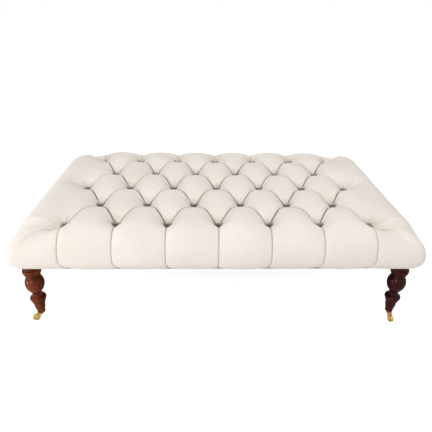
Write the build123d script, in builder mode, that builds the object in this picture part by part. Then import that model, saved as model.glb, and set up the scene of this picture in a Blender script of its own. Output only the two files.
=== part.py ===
"""Long deep-buttoned ottoman coffee table on four turned legs with brass castors.

All lengths are millimetres.  The origin is on the floor under the middle of the
table, +X runs along its length, -Y is the front and +Z is up.
"""
import math
import os

from build123d import *

# Buttoning: the front row has columns buttons, the next one fewer, and so on in turn
columns = 7
rows = 5
button_pitch = 185.0
row_pitch = 160.0
end_border = 186.0
front_border = 128.0

# Stack of layers from the floor up
castor_height = 38.0
leg_height = 224.0
rail_height = 70.0
web_thickness = 1.5
pad_thickness = 15.0
soft_gap = 0.3
foam_under_button = 12.0
button_sink = 7.0
tuft_depth = 61.0

# Frame
rail_thickness = 28.0
skirt_padding = 38.0
corner_block_size = 110.0
tenon_thickness = 12.0
tenon_length = 26.0
tenon_height = 44.0
cross_rail_column = 1.25
web_width = 50.0
web_border = 5.0

# Cutting tools run past what they cut by the overrun, and faces are picked within a margin
overrun = 20.0
pick_margin = 1.0

# Heights
leg_top = castor_height + leg_height
rail_top = leg_top + rail_height
web_top = rail_top + 2 * web_thickness
pad_top = web_top + pad_thickness
cushion_seat = pad_top + soft_gap
button_seat = cushion_seat + foam_under_button
crease_height = button_seat + button_sink
crest_height = crease_height + tuft_depth

# Plan sizes
half_columns = (columns - 1) / 2
half_rows = (rows - 1) / 2
button_reach_x = half_columns * button_pitch
button_reach_y = half_rows * row_pitch
half_length = button_reach_x + end_border
half_depth = button_reach_y + front_border
frame_x = half_length - skirt_padding
frame_y = half_depth - skirt_padding
block_x = frame_x - corner_block_size
block_y = frame_y - corner_block_size
inner_y = frame_y - rail_thickness
corner_cut = 15.0

# Buttons of the odd rows stand on the columns, those of the even rows between them
button_places = []
pillow_places = []
border_pillow_places = []
end_pillow_places = []
for row in range(rows):
    y = (row - half_rows) * row_pitch
    shift = row % 2
    for column in range(columns - shift):
        button_places.append(((column + shift / 2 - half_columns) * button_pitch, y))
    for column in range(columns - 1 + shift):
        x = (column + (1 - shift) / 2 - half_columns) * button_pitch
        if shift and column in (0, columns - 1):
            end_pillow_places.append((x, y))
        elif row in (0, rows - 1):
            border_pillow_places.append((x, y))
        else:
            pillow_places.append((x, y))

os.makedirs("parts", exist_ok=True)


def save(part, name):
    """Label a finished piece and write it under its own name."""
    part.label = name
    export_step(part, f"parts/{name}.step")


def frame_outline(margin):
    """Outline of the frame grown by a margin, with its four corners cut off."""
    with BuildSketch() as outline:
        Rectangle(2 * (frame_x + margin), 2 * (frame_y + margin))
        chamfer(outline.vertices(), corner_cut)
    return outline.sketch


# Tufted top: arched pillows between creases that run from button to button
pillow_rise = 30.0
well_foot_x = 11.6
well_foot_y = 12.6
button_sides = 6
well_mouth_x = 26.0
well_mouth_y = 42.0
button_height = 9.0
needle_slit = 4.0
tool_x = half_length + overrun
tool_y = half_depth + overrun
crease_slant = math.degrees(math.atan2(button_pitch / 2, row_pitch))
crease_spacing = button_pitch * math.cos(math.radians(crease_slant))
crease_level = crest_height - pillow_rise


def arch(span, reach):
    """Prism along Y with an arched top that falls to the crease level at both edges."""
    with BuildPart() as prism:
        with BuildSketch(Plane.XZ):
            with BuildLine():
                ThreePointArc((-span / 2, crease_level), (0, crest_height), (span / 2, crease_level))
                Polyline(
                    (span / 2, crease_level),
                    (span / 2, cushion_seat),
                    (-span / 2, cushion_seat),
                    (-span / 2, crease_level),
                )
            make_face()
        extrude(amount=reach, both=True)
    return prism.part


def half_arch(span, reach):
    """Prism along Y that rises from the crease level to the crest and stays level to +X."""
    with BuildPart() as prism:
        with BuildSketch(Plane.XZ):
            with BuildLine():
                TangentArc((0, crest_height), (-span / 2, crease_level), tangent=(-1, 0))
                Polyline(
                    (-span / 2, crease_level),
                    (-span / 2, cushion_seat),
                    (reach, cushion_seat),
                    (reach, crest_height),
                    (0, crest_height),
                )
            make_face()
        extrude(amount=reach, both=True)
    return prism.part


def turned(part, angle):
    """The same part turned about the vertical axis."""
    return part.moved(Location((0, 0, 0), (0, 0, angle)))


def pillow(outline, arches):
    """Prism over an outline on the frame's top, cut by arches to its crowned form."""
    with BuildPart() as cell:
        with BuildSketch(Plane.XY.offset(cushion_seat)):
            Polygon(*outline, align=None)
        extrude(amount=crest_height - cushion_seat)
        for piece in arches:
            add(piece, mode=Mode.INTERSECT)
    return cell.part


inner_pillow = pillow(
    [(button_pitch / 2, 0), (0, row_pitch), (-button_pitch / 2, 0), (0, -row_pitch)],
    [turned(arch(crease_spacing, tool_y), side * crease_slant) for side in (-1, 1)],
)

# Outer pillows run on as rolls over the front and the ends, from one pleat to the next
front_pillow = pillow(
    [
        (button_pitch / 2, 0),
        (0, row_pitch),
        (-button_pitch / 2, 0),
        (-button_pitch / 2, -front_border - overrun),
        (button_pitch / 2, -front_border - overrun),
    ],
    [
        turned(half_arch(crease_spacing, tool_y), -crease_slant),
        mirror(turned(half_arch(crease_spacing, tool_y), -crease_slant), about=Plane.YZ),
        arch(button_pitch, tool_y),
    ],
)
end_pillow = pillow(
    [
        (-button_pitch / 2, 0),
        (0, -row_pitch),
        (end_border + overrun, -row_pitch),
        (end_border + overrun, row_pitch),
        (0, row_pitch),
    ],
    [
        turned(half_arch(crease_spacing, tool_y), -crease_slant),
        turned(half_arch(crease_spacing, tool_y), crease_slant),
        turned(arch(2 * row_pitch, tool_x), 90),
    ],
)
corner_pillow = pillow(
    [
        (0, 0),
        (end_border + overrun, 0),
        (end_border + overrun, front_border + overrun),
        (0, front_border + overrun),
    ],
    [
        half_arch(button_pitch, tool_y).moved(Location((button_pitch / 2, 0, 0))),
        turned(half_arch(2 * row_pitch, tool_x), 90).moved(Location((0, row_pitch, 0))),
    ],
)

# Skirt: the padded sides, drawn in from the belly to the hem and rounded over at the top
belly_share = 0.38
hem_inset = 24.0
shoulder_inset = 17.0
shoulder_share = 0.214
crown_inset = 78.0
corner_flat = 2.0
pleat_depth = 9.0
pleat_width = 14.0
pleat_ridge = 0.03
cushion_height = crest_height - leg_top
belly_height = leg_top + belly_share * cushion_height
shoulder_height = crest_height - shoulder_share * cushion_height
skirt_corner = crown_inset + corner_flat


def skirt_profile(half_width):
    """Right half of a section through the skirt, from the middle out to the belly."""
    with BuildSketch() as section:
        with BuildLine():
            lower = Line((half_width - hem_inset, leg_top), (half_width, belly_height))
            upper = TangentArc(
                (half_width, belly_height),
                (half_width - shoulder_inset, shoulder_height),
                tangent=(0, 1),
            )
            crown = TangentArc(
                upper @ 1,
                (half_width - crown_inset, crest_height + soft_gap),
                tangent=upper % 1,
            )
            Polyline(crown @ 1, (0, (crown @ 1).Y), (0, leg_top), lower @ 0)
        make_face()
    return section.sketch


with BuildPart() as skirt:
    for plane, half_width, reach in (
        (Plane.YZ, half_depth, half_length - skirt_corner),
        (Plane.XZ, half_length, half_depth - skirt_corner),
    ):
        with BuildSketch(plane):
            add(skirt_profile(half_width))
            mirror(about=Plane.YZ)
        extrude(amount=reach, both=True)

with BuildPart() as skirt_post:
    with BuildSketch(Plane.XZ):
        add(skirt_profile(skirt_corner))
    revolve(axis=Axis.Z)

with BuildPart() as envelope:
    add(skirt.part)
    with GridLocations(2 * (half_length - skirt_corner), 2 * (half_depth - skirt_corner), 2, 2):
        add(skirt_post.part)


def pleat_groove(half_width, button_reach):
    """V-shaped cutter for one fold, from its button over the shoulder and down to the hem."""
    outer_edge = half_width + overrun
    with BuildPart() as groove:
        with BuildSketch(Plane.YZ):
            Polygon(
                (outer_edge, leg_top - overrun),
                (outer_edge, crest_height + overrun),
                (button_reach, crest_height + overrun),
                (button_reach, crease_level - pleat_depth / 2),
                (half_width - shoulder_inset - pleat_depth, shoulder_height),
                (half_width - pleat_depth, belly_height),
                (half_width - hem_inset - pleat_depth / 2, leg_top),
                (half_width - hem_inset - pleat_depth / 2, leg_top - overrun),
                align=None,
            )
        extrude(amount=pleat_width / 2)
        far_face = groove.faces().sort_by(Axis.X)[-1]
        inner_edges = far_face.edges().filter_by_position(
            Axis.Y, button_reach - pick_margin, outer_edge - pick_margin
        ).filter_by_position(
            Axis.Z, leg_top - overrun - pick_margin, crest_height + pick_margin
        )
        chamfer(inner_edges, pleat_depth, pleat_width / 2 - pleat_ridge, reference=far_face)
        mirror(about=Plane.YZ)
    return groove.part


with BuildPart() as well:
    with BuildSketch(Plane.XY.offset(button_seat + button_height)):
        Rectangle(2 * well_mouth_x, 2 * well_mouth_y)
    extrude(amount=crest_height + overrun - button_seat - button_height)
    for axis, mouth, foot in ((Axis.X, well_mouth_x, well_foot_x), (Axis.Y, well_mouth_y, well_foot_y)):
        floor = well.faces().sort_by(Axis.Z)[0]
        chamfer(
            floor.edges().group_by(axis)[0] + floor.edges().group_by(axis)[-1],
            mouth - foot,
            crest_height - button_seat - button_height,
            reference=floor,
        )
    with BuildSketch(Plane.XY.offset(button_seat)):
        Rectangle(2 * well_foot_x, 2 * well_foot_y)
    extrude(amount=button_height)
    with BuildSketch(Plane.XY.offset(cushion_seat)):
        Rectangle(needle_slit, needle_slit)
    extrude(amount=foam_under_button)

# Cushion: everything above the frame's top, shaped by the pillows and the skirt
frame_gap = 0.3
side_places = [(column - half_columns) * button_pitch for column in range(columns)]
end_places = [(row - half_rows) * row_pitch for row in range(0, rows, 2)]

with BuildPart() as tufted_top:
    with BuildSketch(Plane.XY.offset(leg_top)):
        Rectangle(2 * half_length, 2 * half_depth)
    extrude(amount=cushion_seat - leg_top)
    with Locations(*[(x, y, 0) for x, y in pillow_places]):
        add(inner_pillow)
    for sign in (-1, 1):
        front_row = [(x, y, 0) for x, y in border_pillow_places if y * sign < 0]
        end_row = [(x, y, 0) for x, y in end_pillow_places if x * sign > 0]
        with Locations(*[Location(place, (0, 0, 90 - sign * 90)) for place in front_row]):
            add(front_pillow)
        with Locations(*[Location(place, (0, 0, 90 - sign * 90)) for place in end_row]):
            add(end_pillow)
    quarter = corner_pillow.moved(Location((button_reach_x, button_reach_y, 0)))
    add([quarter, mirror(quarter, about=Plane.XZ)])
    add(mirror([quarter, mirror(quarter, about=Plane.XZ)], about=Plane.YZ))
    add(envelope.part, mode=Mode.INTERSECT)
    with BuildSketch(Plane.XY.offset(leg_top)):
        add(frame_outline(frame_gap))
    extrude(amount=cushion_seat - leg_top, mode=Mode.SUBTRACT)
    for angle in (0, 180):
        with Locations(*[Location((x, 0, 0), (0, 0, angle)) for x in side_places]):
            add(pleat_groove(half_depth, button_reach_y), mode=Mode.SUBTRACT)
        with Locations(*[Location((0, y, 0), (0, 0, angle - 90)) for y in end_places]):
            add(pleat_groove(half_length, button_reach_x), mode=Mode.SUBTRACT)
    with Locations(*[(x, y, 0) for x, y in button_places]):
        add(well.part, mode=Mode.SUBTRACT)

save(tufted_top.part, "tufted_top")


# Covered buttons, the twines that draw them down and the toggles that hold the twines
button_radius = 11.0
twine_width = 2.4
toggle_length = 60.0
toggle_width = 10.0
toggle_thickness = 4.0

with BuildPart() as tuft_buttons:
    with BuildSketch(Plane.XY.offset(button_seat)):
        with Locations(*button_places):
            RegularPolygon(button_radius, button_sides)
    extrude(amount=button_height)
save(tuft_buttons.part, "tuft_buttons")

with BuildPart() as button_twines:
    with BuildSketch(Plane.XY.offset(rail_top)):
        with Locations(*button_places):
            Rectangle(twine_width, twine_width)
    extrude(amount=button_seat - rail_top)
save(button_twines.part, "button_twines")

with BuildPart() as twine_toggles:
    with BuildSketch(Plane.XY.offset(rail_top)):
        with Locations(*button_places):
            Rectangle(toggle_length, toggle_width)
    extrude(amount=-toggle_thickness)
save(twine_toggles.part, "twine_toggles")

# Firm pad and the two layers of webbing that carry it
pad_inset = 3.0

with BuildPart() as base_pad:
    with BuildSketch(Plane.XY.offset(web_top)):
        add(frame_outline(-pad_inset))
        with Locations(*button_places):
            Rectangle(needle_slit, needle_slit, mode=Mode.SUBTRACT)
    extrude(amount=pad_thickness)
save(base_pad.part, "base_pad")

with BuildPart() as cross_webbing:
    with BuildSketch(Plane.XY.offset(rail_top)):
        with GridLocations(button_pitch / 2, 0, 2 * columns, 1):
            Rectangle(web_width, 2 * (frame_y - web_border))
    extrude(amount=web_thickness)
save(cross_webbing.part, "cross_webbing")

with BuildPart() as long_webbing:
    with BuildSketch(Plane.XY.offset(rail_top + web_thickness)):
        with GridLocations(0, row_pitch, 1, rows - 1):
            Rectangle(2 * (frame_x - web_border), web_width)
    extrude(amount=web_thickness)
save(long_webbing.part, "long_webbing")

# Frame: four rails tenoned into solid corner blocks, and two cross rails between them
rail_middle = leg_top + rail_height / 2
rail_line_x = frame_x - rail_thickness / 2
rail_line_y = frame_y - rail_thickness / 2
cross_rail_x = cross_rail_column * button_pitch
cross_tenon_length = 16.0
joint_gap = 0.2


def tenoned_rail(length, tenon):
    """Rail along X about the origin with a centred tenon at each end."""
    with BuildPart() as rail:
        Box(length, rail_thickness, rail_height)
        Box(length + 2 * tenon, tenon_thickness, tenon_height)
    return rail.part


def mortise(depth):
    """Cutter for one tenon, along X from the shoulder of the joint at the origin."""
    with BuildPart() as cutter:
        Box(
            depth + joint_gap,
            tenon_thickness + 2 * joint_gap,
            tenon_height + 2 * joint_gap,
            align=(Align.MIN, Align.CENTER, Align.CENTER),
        )
    return cutter.part


for name, side in (("front_rail", -1), ("back_rail", 1)):
    with BuildPart() as long_rail:
        with Locations((0, side * rail_line_y, rail_middle)):
            add(tenoned_rail(2 * block_x, tenon_length))
        for x in (-cross_rail_x, cross_rail_x):
            with Locations(Location((x, side * inner_y, rail_middle), (0, 0, side * 90))):
                add(mortise(cross_tenon_length), mode=Mode.SUBTRACT)
    save(long_rail.part, name)

for name, side in (("left_rail", -1), ("right_rail", 1)):
    with BuildPart() as end_rail:
        with Locations(Location((side * rail_line_x, 0, rail_middle), (0, 0, 90))):
            add(tenoned_rail(2 * block_y, tenon_length))
    save(end_rail.part, name)

with BuildPart() as cross_rails:
    for x in (-cross_rail_x, cross_rail_x):
        with Locations(Location((x, 0, rail_middle), (0, 0, 90))):
            add(tenoned_rail(2 * inner_y, cross_tenon_length))
save(cross_rails.part, "cross_rails")

# Turned legs, each on a hanger bolt that runs up through its corner block to a tee nut
leg_inset_x = 24.0
leg_inset_y = 23.0
leg_x = frame_x - leg_inset_x
leg_y = frame_y - leg_inset_y
leg_places = [(sx * leg_x, sy * leg_y) for sy in (-1, 1) for sx in (-1, 1)]
bolt_radius = 4.0
bolt_in_leg = 40.0
bolt_gap = 0.3
bolt_sides = 8
nut_radius = 6.0
nut_length = 12.0
nut_flange_width = 22.0
nut_flange_thickness = 1.5

with BuildPart() as corner_blocks:
    with BuildSketch(Plane.XY.offset(leg_top)):
        with GridLocations(2 * frame_x - corner_block_size, 2 * frame_y - corner_block_size, 2, 2):
            Rectangle(corner_block_size, corner_block_size)
        add(frame_outline(0), mode=Mode.INTERSECT)
    extrude(amount=rail_height)
    for sx in (-1, 1):
        for sy in (-1, 1):
            with Locations(
                Location((sx * block_x, sy * rail_line_y, rail_middle), (0, 0, 90 - sx * 90)),
                Location((sx * rail_line_x, sy * block_y, rail_middle), (0, 0, sy * 90)),
            ):
                add(mortise(tenon_length), mode=Mode.SUBTRACT)
    with BuildSketch(Plane.XY.offset(rail_top)):
        with Locations(*leg_places):
            Rectangle(nut_flange_width + 2 * bolt_gap, nut_flange_width + 2 * bolt_gap)
    extrude(amount=-nut_flange_thickness, mode=Mode.SUBTRACT)
    with BuildSketch(Plane.XY.offset(rail_top)):
        with Locations(*leg_places):
            RegularPolygon(nut_radius + bolt_gap, bolt_sides, major_radius=False)
    extrude(amount=-nut_length - bolt_gap, mode=Mode.SUBTRACT)
    with BuildSketch(Plane.XY.offset(rail_top)):
        with Locations(*leg_places):
            RegularPolygon(bolt_radius + bolt_gap, bolt_sides, major_radius=False)
    extrude(amount=-rail_height, mode=Mode.SUBTRACT)
save(corner_blocks.part, "corner_blocks")

with BuildPart() as tee_nuts:
    with BuildSketch(Plane.XY.offset(rail_top)):
        with Locations(*leg_places):
            RegularPolygon(nut_radius, bolt_sides, major_radius=False)
    extrude(amount=-nut_length)
    with BuildSketch(Plane.XY.offset(rail_top)):
        with Locations(*leg_places):
            Rectangle(nut_flange_width, nut_flange_width)
    extrude(amount=-nut_flange_thickness)
    with BuildSketch(Plane.XY.offset(rail_top)):
        with Locations(*leg_places):
            RegularPolygon(bolt_radius + bolt_gap, bolt_sides, major_radius=False)
    extrude(amount=-nut_length, mode=Mode.SUBTRACT)
save(tee_nuts.part, "tee_nuts")

with BuildPart() as leg_bolts:
    with BuildSketch(Plane.XY.offset(leg_top - bolt_in_leg)):
        with Locations(*leg_places):
            RegularPolygon(bolt_radius, bolt_sides, major_radius=False)
    extrude(amount=bolt_in_leg + rail_height)
save(leg_bolts.part, "leg_bolts")

# Each row: height as a share of the leg and radius as a share of the bulb
bulb_radius = 34.5
leg_shares = [
    (0.000, 0.420),
    (0.232, 0.594),
    (0.268, 0.852),
    (0.321, 0.852),
    (0.362, 0.551),
    (0.415, 0.493),
    (0.482, 0.696),
    (0.549, 0.928),
    (0.621, 1.000),
    (0.696, 0.913),
    (0.754, 0.638),
    (0.786, 0.768),
    (0.821, 0.968),
    (0.897, 0.968),
    (0.929, 0.754),
    (1.000, 0.754),
]
socket_radius = 5.5
socket_length = 36.0
socket_sides = 8
socket_gap = 0.2

with BuildPart() as leg:
    with BuildSketch(Plane.XZ):
        with BuildLine():
            Polyline(
                (0, castor_height),
                *[
                    (radius * bulb_radius, castor_height + height * leg_height)
                    for height, radius in leg_shares
                ],
                (0, leg_top),
                close=True,
            )
        make_face()
    revolve(axis=Axis.Z)
    with BuildSketch(Plane.XY.offset(castor_height)):
        RegularPolygon(socket_radius + socket_gap, socket_sides, major_radius=False)
    extrude(amount=socket_length + socket_gap, mode=Mode.SUBTRACT)
    with BuildSketch(Plane.XY.offset(leg_top)):
        RegularPolygon(bolt_radius + bolt_gap, bolt_sides, major_radius=False)
    extrude(amount=-bolt_in_leg - bolt_gap, mode=Mode.SUBTRACT)

with BuildPart() as legs:
    with Locations(*[(x, y, 0) for x, y in leg_places]):
        add(leg.part)
save(legs.part, "legs")

# Hem strip turned under the skirt and the dust cover stapled inside it
hem_thickness = 1.0
hem_setback = 3.0
cover_border = 9.0
cover_gap = 0.3
leg_gap = 1.5
leg_cut_sides = 12
leg_top_radius = leg_shares[-1][1] * bulb_radius
strip_x = half_length - hem_inset - hem_setback
strip_y = half_depth - hem_inset - hem_setback
strip_corner = skirt_corner - hem_inset - hem_setback

with BuildPart() as hem_strip:
    with BuildSketch(Plane.XY.offset(leg_top)):
        RectangleRounded(2 * strip_x, 2 * strip_y, strip_corner)
        Rectangle(2 * (frame_x - cover_border), 2 * (frame_y - cover_border), mode=Mode.SUBTRACT)
        with Locations(*leg_places):
            RegularPolygon(
                leg_top_radius + leg_gap, leg_cut_sides, major_radius=False, mode=Mode.SUBTRACT
            )
    extrude(amount=-hem_thickness)
save(hem_strip.part, "hem_strip")

with BuildPart() as dust_cover:
    with BuildSketch(Plane.XY.offset(leg_top)):
        Rectangle(2 * (frame_x - cover_border - cover_gap), 2 * (frame_y - cover_border - cover_gap))
        with Locations(*leg_places):
            RegularPolygon(
                leg_top_radius + leg_gap, leg_cut_sides, major_radius=False, mode=Mode.SUBTRACT
            )
    extrude(amount=-hem_thickness)
save(dust_cover.part, "dust_cover")

# Castors: a grip-neck socket in the foot, and a strap fork whose stem turns in it
wheel_radius = 14.0
wheel_width = 12.0
wheel_sides = 24
castor_trail = 22.0
axle_radius = 2.5
stem_radius = 4.0
stem_sides = 12
running_gap = 0.05
side_gap = 0.4
flange_radius = 13.0
flange_thickness = 1.5
crown_thickness = 2.5
crown_half_length = 8.5
cheek_thickness = 2.0
cheek_root_height = 3.0
boss_radius = 5.0
boss_sides = 8
stem_end_gap = 1.0
rivet_length = 0.6
crown_top = castor_height - flange_thickness - side_gap
crown_bottom = crown_top - crown_thickness
cheek_inner = wheel_width / 2 + side_gap
cheek_outer = cheek_inner + cheek_thickness
castor_headings = {
    "front_left": 195.0,
    "front_right": 280.0,
    "back_left": 150.0,
    "back_right": 20.0,
}

with BuildPart() as castor_sockets:
    with BuildSketch(Plane.XY.offset(castor_height)):
        with Locations(*leg_places):
            RegularPolygon(flange_radius, socket_sides, major_radius=False)
    extrude(amount=-flange_thickness)
    with BuildSketch(Plane.XY.offset(castor_height)):
        with Locations(*leg_places):
            RegularPolygon(socket_radius, socket_sides, major_radius=False)
    extrude(amount=socket_length)
    with BuildSketch(Plane.XY.offset(castor_height - flange_thickness)):
        with Locations(*leg_places):
            RegularPolygon(stem_radius + running_gap, socket_sides, major_radius=False)
    extrude(amount=flange_thickness + socket_length, mode=Mode.SUBTRACT)
save(castor_sockets.part, "castor_sockets")

with BuildPart() as fork:
    with BuildSketch(Plane.XY.offset(crown_bottom)):
        Rectangle(2 * crown_half_length, 2 * cheek_outer)
    extrude(amount=crown_thickness)
    with BuildSketch(Plane.XZ.offset(cheek_inner)):
        with Locations((0, crown_bottom)):
            Rectangle(2 * crown_half_length, cheek_root_height, align=(Align.CENTER, Align.MAX))
        with Locations((castor_trail, wheel_radius)):
            RegularPolygon(boss_radius, boss_sides)
        make_hull()
        with Locations((castor_trail, wheel_radius)):
            RegularPolygon(axle_radius + running_gap, boss_sides, mode=Mode.SUBTRACT)
    extrude(amount=cheek_thickness)
    mirror(about=Plane.XZ)
    with BuildSketch(Plane.XY.offset(crown_top)):
        RegularPolygon(stem_radius, stem_sides)
    extrude(amount=castor_height + socket_length - crown_top - stem_end_gap)

with BuildPart() as wheel:
    with BuildSketch(Plane.XZ.offset(-wheel_width / 2)):
        with Locations((castor_trail, wheel_radius)):
            RegularPolygon(wheel_radius, wheel_sides)
            Circle(axle_radius + running_gap, mode=Mode.SUBTRACT)
    extrude(amount=wheel_width)

with BuildPart() as axle:
    with BuildSketch(Plane.XZ.offset(-cheek_outer - rivet_length)):
        with Locations((castor_trail, wheel_radius)):
            RegularPolygon(axle_radius, boss_sides)
    extrude(amount=2 * (cheek_outer + rivet_length))

for (corner, heading), place in zip(castor_headings.items(), leg_places):
    spot = Location((*place, 0), (0, 0, heading))
    for kind, piece in (("fork", fork), ("wheel", wheel), ("axle", axle)):
        with BuildPart() as castor_piece:
            with Locations(spot):
                add(piece.part)
        save(castor_piece.part, f"castor_{kind}_{corner}")
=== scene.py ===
"""Deep-buttoned linen ottoman on turned mahogany legs with brass castors.

Lengths are metres.  The origin is on the floor under the middle of the table, +X runs
along its length, -Y is the front and +Z is up.
"""
import math

import bmesh
import bpy
import numpy as np
from mathutils import Matrix, Vector


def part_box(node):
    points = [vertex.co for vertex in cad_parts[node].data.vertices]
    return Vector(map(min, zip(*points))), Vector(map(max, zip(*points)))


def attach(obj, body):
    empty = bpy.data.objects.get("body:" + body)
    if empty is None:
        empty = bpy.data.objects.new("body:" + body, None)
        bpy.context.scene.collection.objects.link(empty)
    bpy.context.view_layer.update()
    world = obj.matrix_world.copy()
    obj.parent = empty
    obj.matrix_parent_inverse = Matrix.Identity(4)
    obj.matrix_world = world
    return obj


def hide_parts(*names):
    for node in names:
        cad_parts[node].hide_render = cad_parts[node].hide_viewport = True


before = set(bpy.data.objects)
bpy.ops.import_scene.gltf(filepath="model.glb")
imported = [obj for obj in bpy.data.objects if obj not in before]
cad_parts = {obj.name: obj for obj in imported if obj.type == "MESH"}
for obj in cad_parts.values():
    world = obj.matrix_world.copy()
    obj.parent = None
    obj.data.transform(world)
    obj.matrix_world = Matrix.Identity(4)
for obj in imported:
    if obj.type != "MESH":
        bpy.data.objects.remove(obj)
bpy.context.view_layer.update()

# Buttoning: rows of seven buttons with rows of six set between them
COLUMNS = 7
ROWS = 5
PITCH = 0.185
ROW_PITCH = 0.160
HALF_PITCH = PITCH / 2
BUTTON_REACH_X = (COLUMNS - 1) / 2 * PITCH
BUTTON_REACH_Y = (ROWS - 1) / 2 * ROW_PITCH

# Outline of the cushion, from the box of its frame node: the flat top ends at the shoulder,
# the belly is the widest place, and below it the sides draw in to the hem
top_low, top_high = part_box("tufted_top")
HALF_LENGTH = top_high.x
HALF_DEPTH = top_high.y
CREST_SETTLE = 0.005
CREST = top_high.z - CREST_SETTLE
HEM = top_low.z
END_BORDER = HALF_LENGTH - BUTTON_REACH_X
FRONT_BORDER = HALF_DEPTH - BUTTON_REACH_Y
CORNER_RADIUS = 0.036
CORNER_SETTLE = 0.033
BELLY_RISE = 0.042
BELLY = HEM + BELLY_RISE
HEM_INSET = 0.024
HEM_CURVE = 1.9
SHOULDER = 0.116
SHOULDER_CURVE = 2.15
HEM_GATHER = 0.023
GATHER_CURVE = 1.4

# Depths of the tufting below the crest, how far they reach, and the powers of their curves
CREASE_DEPTH = 0.018
SLIT_DEPTH = 0.012
SLIT_WIDTH = 0.030
PLUNGE_CURVE = 1.7
PLUNGE_REACH = 0.050
PILLOW_CURVE = 2.2
BLEND_REACH = 0.040
BORDER_CELL = 0.085

# Pleats over the sides: depth at the hem, and how far out the crease's own depth reaches
FRONT_PLEAT = (0.0040, 0.070)
END_PLEAT = (0.0008, 0.036)
PLEAT_CURVE = 1.4

# Gathers of cloth round each button, and the unevenness of hand work
GATHER_FOLDS = 13
CROSS_FOLDS = 7
CROSS_FOLD_SHARE = 0.4
GATHER_DEPTH = 0.0017
GATHER_RADIUS = 0.026
GATHER_SPREAD = 0.016
GATHER_SEED = 5
RIPPLE = 0.0011
RIPPLE_WAVES = (9.0, 14.0, 23.0, 41.0, 67.0)
RIPPLE_DRAWS = 3
RIPPLE_FADE = 0.7
RIPPLE_SEED = 11

# Room for the frame inside the cushion, and for the pad under the buttons
FRAME_GAP = 0.0003
CEILING_DROP = 0.012

# Buttons, from the box of their frame node
button_low, button_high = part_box("tuft_buttons")
BUTTON_RADIUS = 0.011
BUTTON_SEAT = button_low.z
BUTTON_CROWN = button_high.z
CROWN_ABOVE_CLOTH = 0.002
BUTTON_PLUNGE = CREST - CREASE_DEPTH - BUTTON_CROWN + CROWN_ABOVE_CLOTH

# Strength of the painted shade along the creases and pleats, and a distance at which none shows
FRONT_PLEAT_SHADE = 0.46
END_PLEAT_SHADE = 0.12
FAR = 1.0
CELL_HALF_WIDTH = HALF_PITCH * ROW_PITCH / math.hypot(HALF_PITCH, ROW_PITCH)

# Grid steps of the cushion, samples of its side curve, and how close merged points lie
CREASE_STEPS = 57
LOBE_STEPS = 57
END_LOBE_STEPS = 81
FLAT_STEPS = 18
FLAT_CROWD = 1.5
SHOULDER_STEPS = 52
SHOULDER_SAMPLES = 400
SKIRT_SAMPLES = 200
FAN_STEPS = 61
CLOTH_WELD = 2e-5
LATHE_WELD = 1e-6


def button_places():
    """Plan positions of the buttons: odd rows on the columns, even rows between them."""
    places = []
    for row in range(ROWS):
        shift = row % 2
        for column in range(COLUMNS - shift):
            x = (column + shift / 2) * PITCH - BUTTON_REACH_X
            places.append((x, row * ROW_PITCH - BUTTON_REACH_Y))
    return np.array(places)


BUTTONS = button_places()


class Mesh:
    """Vertices, faces and the cloth's two maps, gathered from several grids."""

    def __init__(self):
        self.points = []
        self.cloth = []
        self.crease = []
        self.faces = []
        self.count = 0

    def add_grid(self, points, cloth=None, crease=None, close_rows=False, close_columns=False):
        """Add a grid of points, shape (rows, columns, 3), joined into quads.

        cloth holds flat positions on the cloth, crease the distance to the nearest crease
        and the strength of the painted shade along that crease.
        """
        rows, columns = points.shape[:2]
        index = np.arange(rows * columns).reshape(rows, columns) + self.count
        if close_rows:
            index = np.vstack([index, index[:1]])
        if close_columns:
            index = np.hstack([index, index[:, :1]])
        corners = [index[:-1, :-1], index[:-1, 1:], index[1:, 1:], index[1:, :-1]]
        self.faces.append(np.stack(corners, axis=-1).reshape(-1, 4))
        self.points.append(points.reshape(-1, 3))
        if cloth is None:
            cloth = points[..., :2]
        if crease is None:
            crease = np.broadcast_to([FAR, 0.0], points.shape[:2] + (2,))
        self.cloth.append(cloth.reshape(-1, 2))
        self.crease.append(crease.reshape(-1, 2))
        self.count += rows * columns

    def build(self, name, material, weld=LATHE_WELD):
        """Make the object: weld the grids' shared edges and point all faces outwards."""
        points = np.vstack(self.points)
        faces = np.vstack(self.faces)
        data = bpy.data.meshes.new(name)
        data.from_pydata(points.tolist(), [], faces.tolist())
        for map_name, values in (("cloth", self.cloth), ("crease", self.crease)):
            layer = data.uv_layers.new(name=map_name)
            corners = np.vstack(values)[faces.ravel()]
            layer.data.foreach_set("uv", corners.astype(np.float32).ravel())
        work = bmesh.new()
        work.from_mesh(data)
        bmesh.ops.remove_doubles(work, verts=work.verts, dist=weld)
        bmesh.ops.recalc_face_normals(work, faces=work.faces)
        work.to_mesh(data)
        work.free()
        data.polygons.foreach_set("use_smooth", [True] * len(data.polygons))
        data.materials.append(material)
        piece = bpy.data.objects.new(name, data)
        bpy.context.scene.collection.objects.link(piece)
        return piece


# Cushion
def spread(steps):
    """Numbers from -1 to 1 that crowd towards both ends: the sine of an even spread."""
    return np.sin(np.linspace(-math.pi / 2, math.pi / 2, steps))


def dome(u):
    """Height of a pillow across a crease: 1 - u^n, steep at u = 1 and flat at u = 0."""
    return 1 - np.clip(np.abs(u), 0, 1) ** PILLOW_CURVE


def plunge(u, v):
    """Extra depth at a button: (u v)^k, which is 1 only where both creases meet."""
    return (np.abs(u) * np.abs(v)) ** PLUNGE_CURVE


def slit(u):
    """Share of the narrow fold at a crease: it dies away from u = 1 as an exponential."""
    return np.exp((np.abs(u) - 1) / SLIT_WIDTH)


def cell_depth(p, q):
    """Depth below the crest of a diamond whose creases lie at p = -1, 1 and q = -1, 1."""
    fold = np.maximum(slit(p), slit(q))
    deep = plunge(p, q)
    return (
        CREASE_DEPTH * (1 - dome(p) * dome(q))
        + SLIT_DEPTH * fold * (1 - deep)
        + BUTTON_PLUNGE * deep
    )


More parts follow.
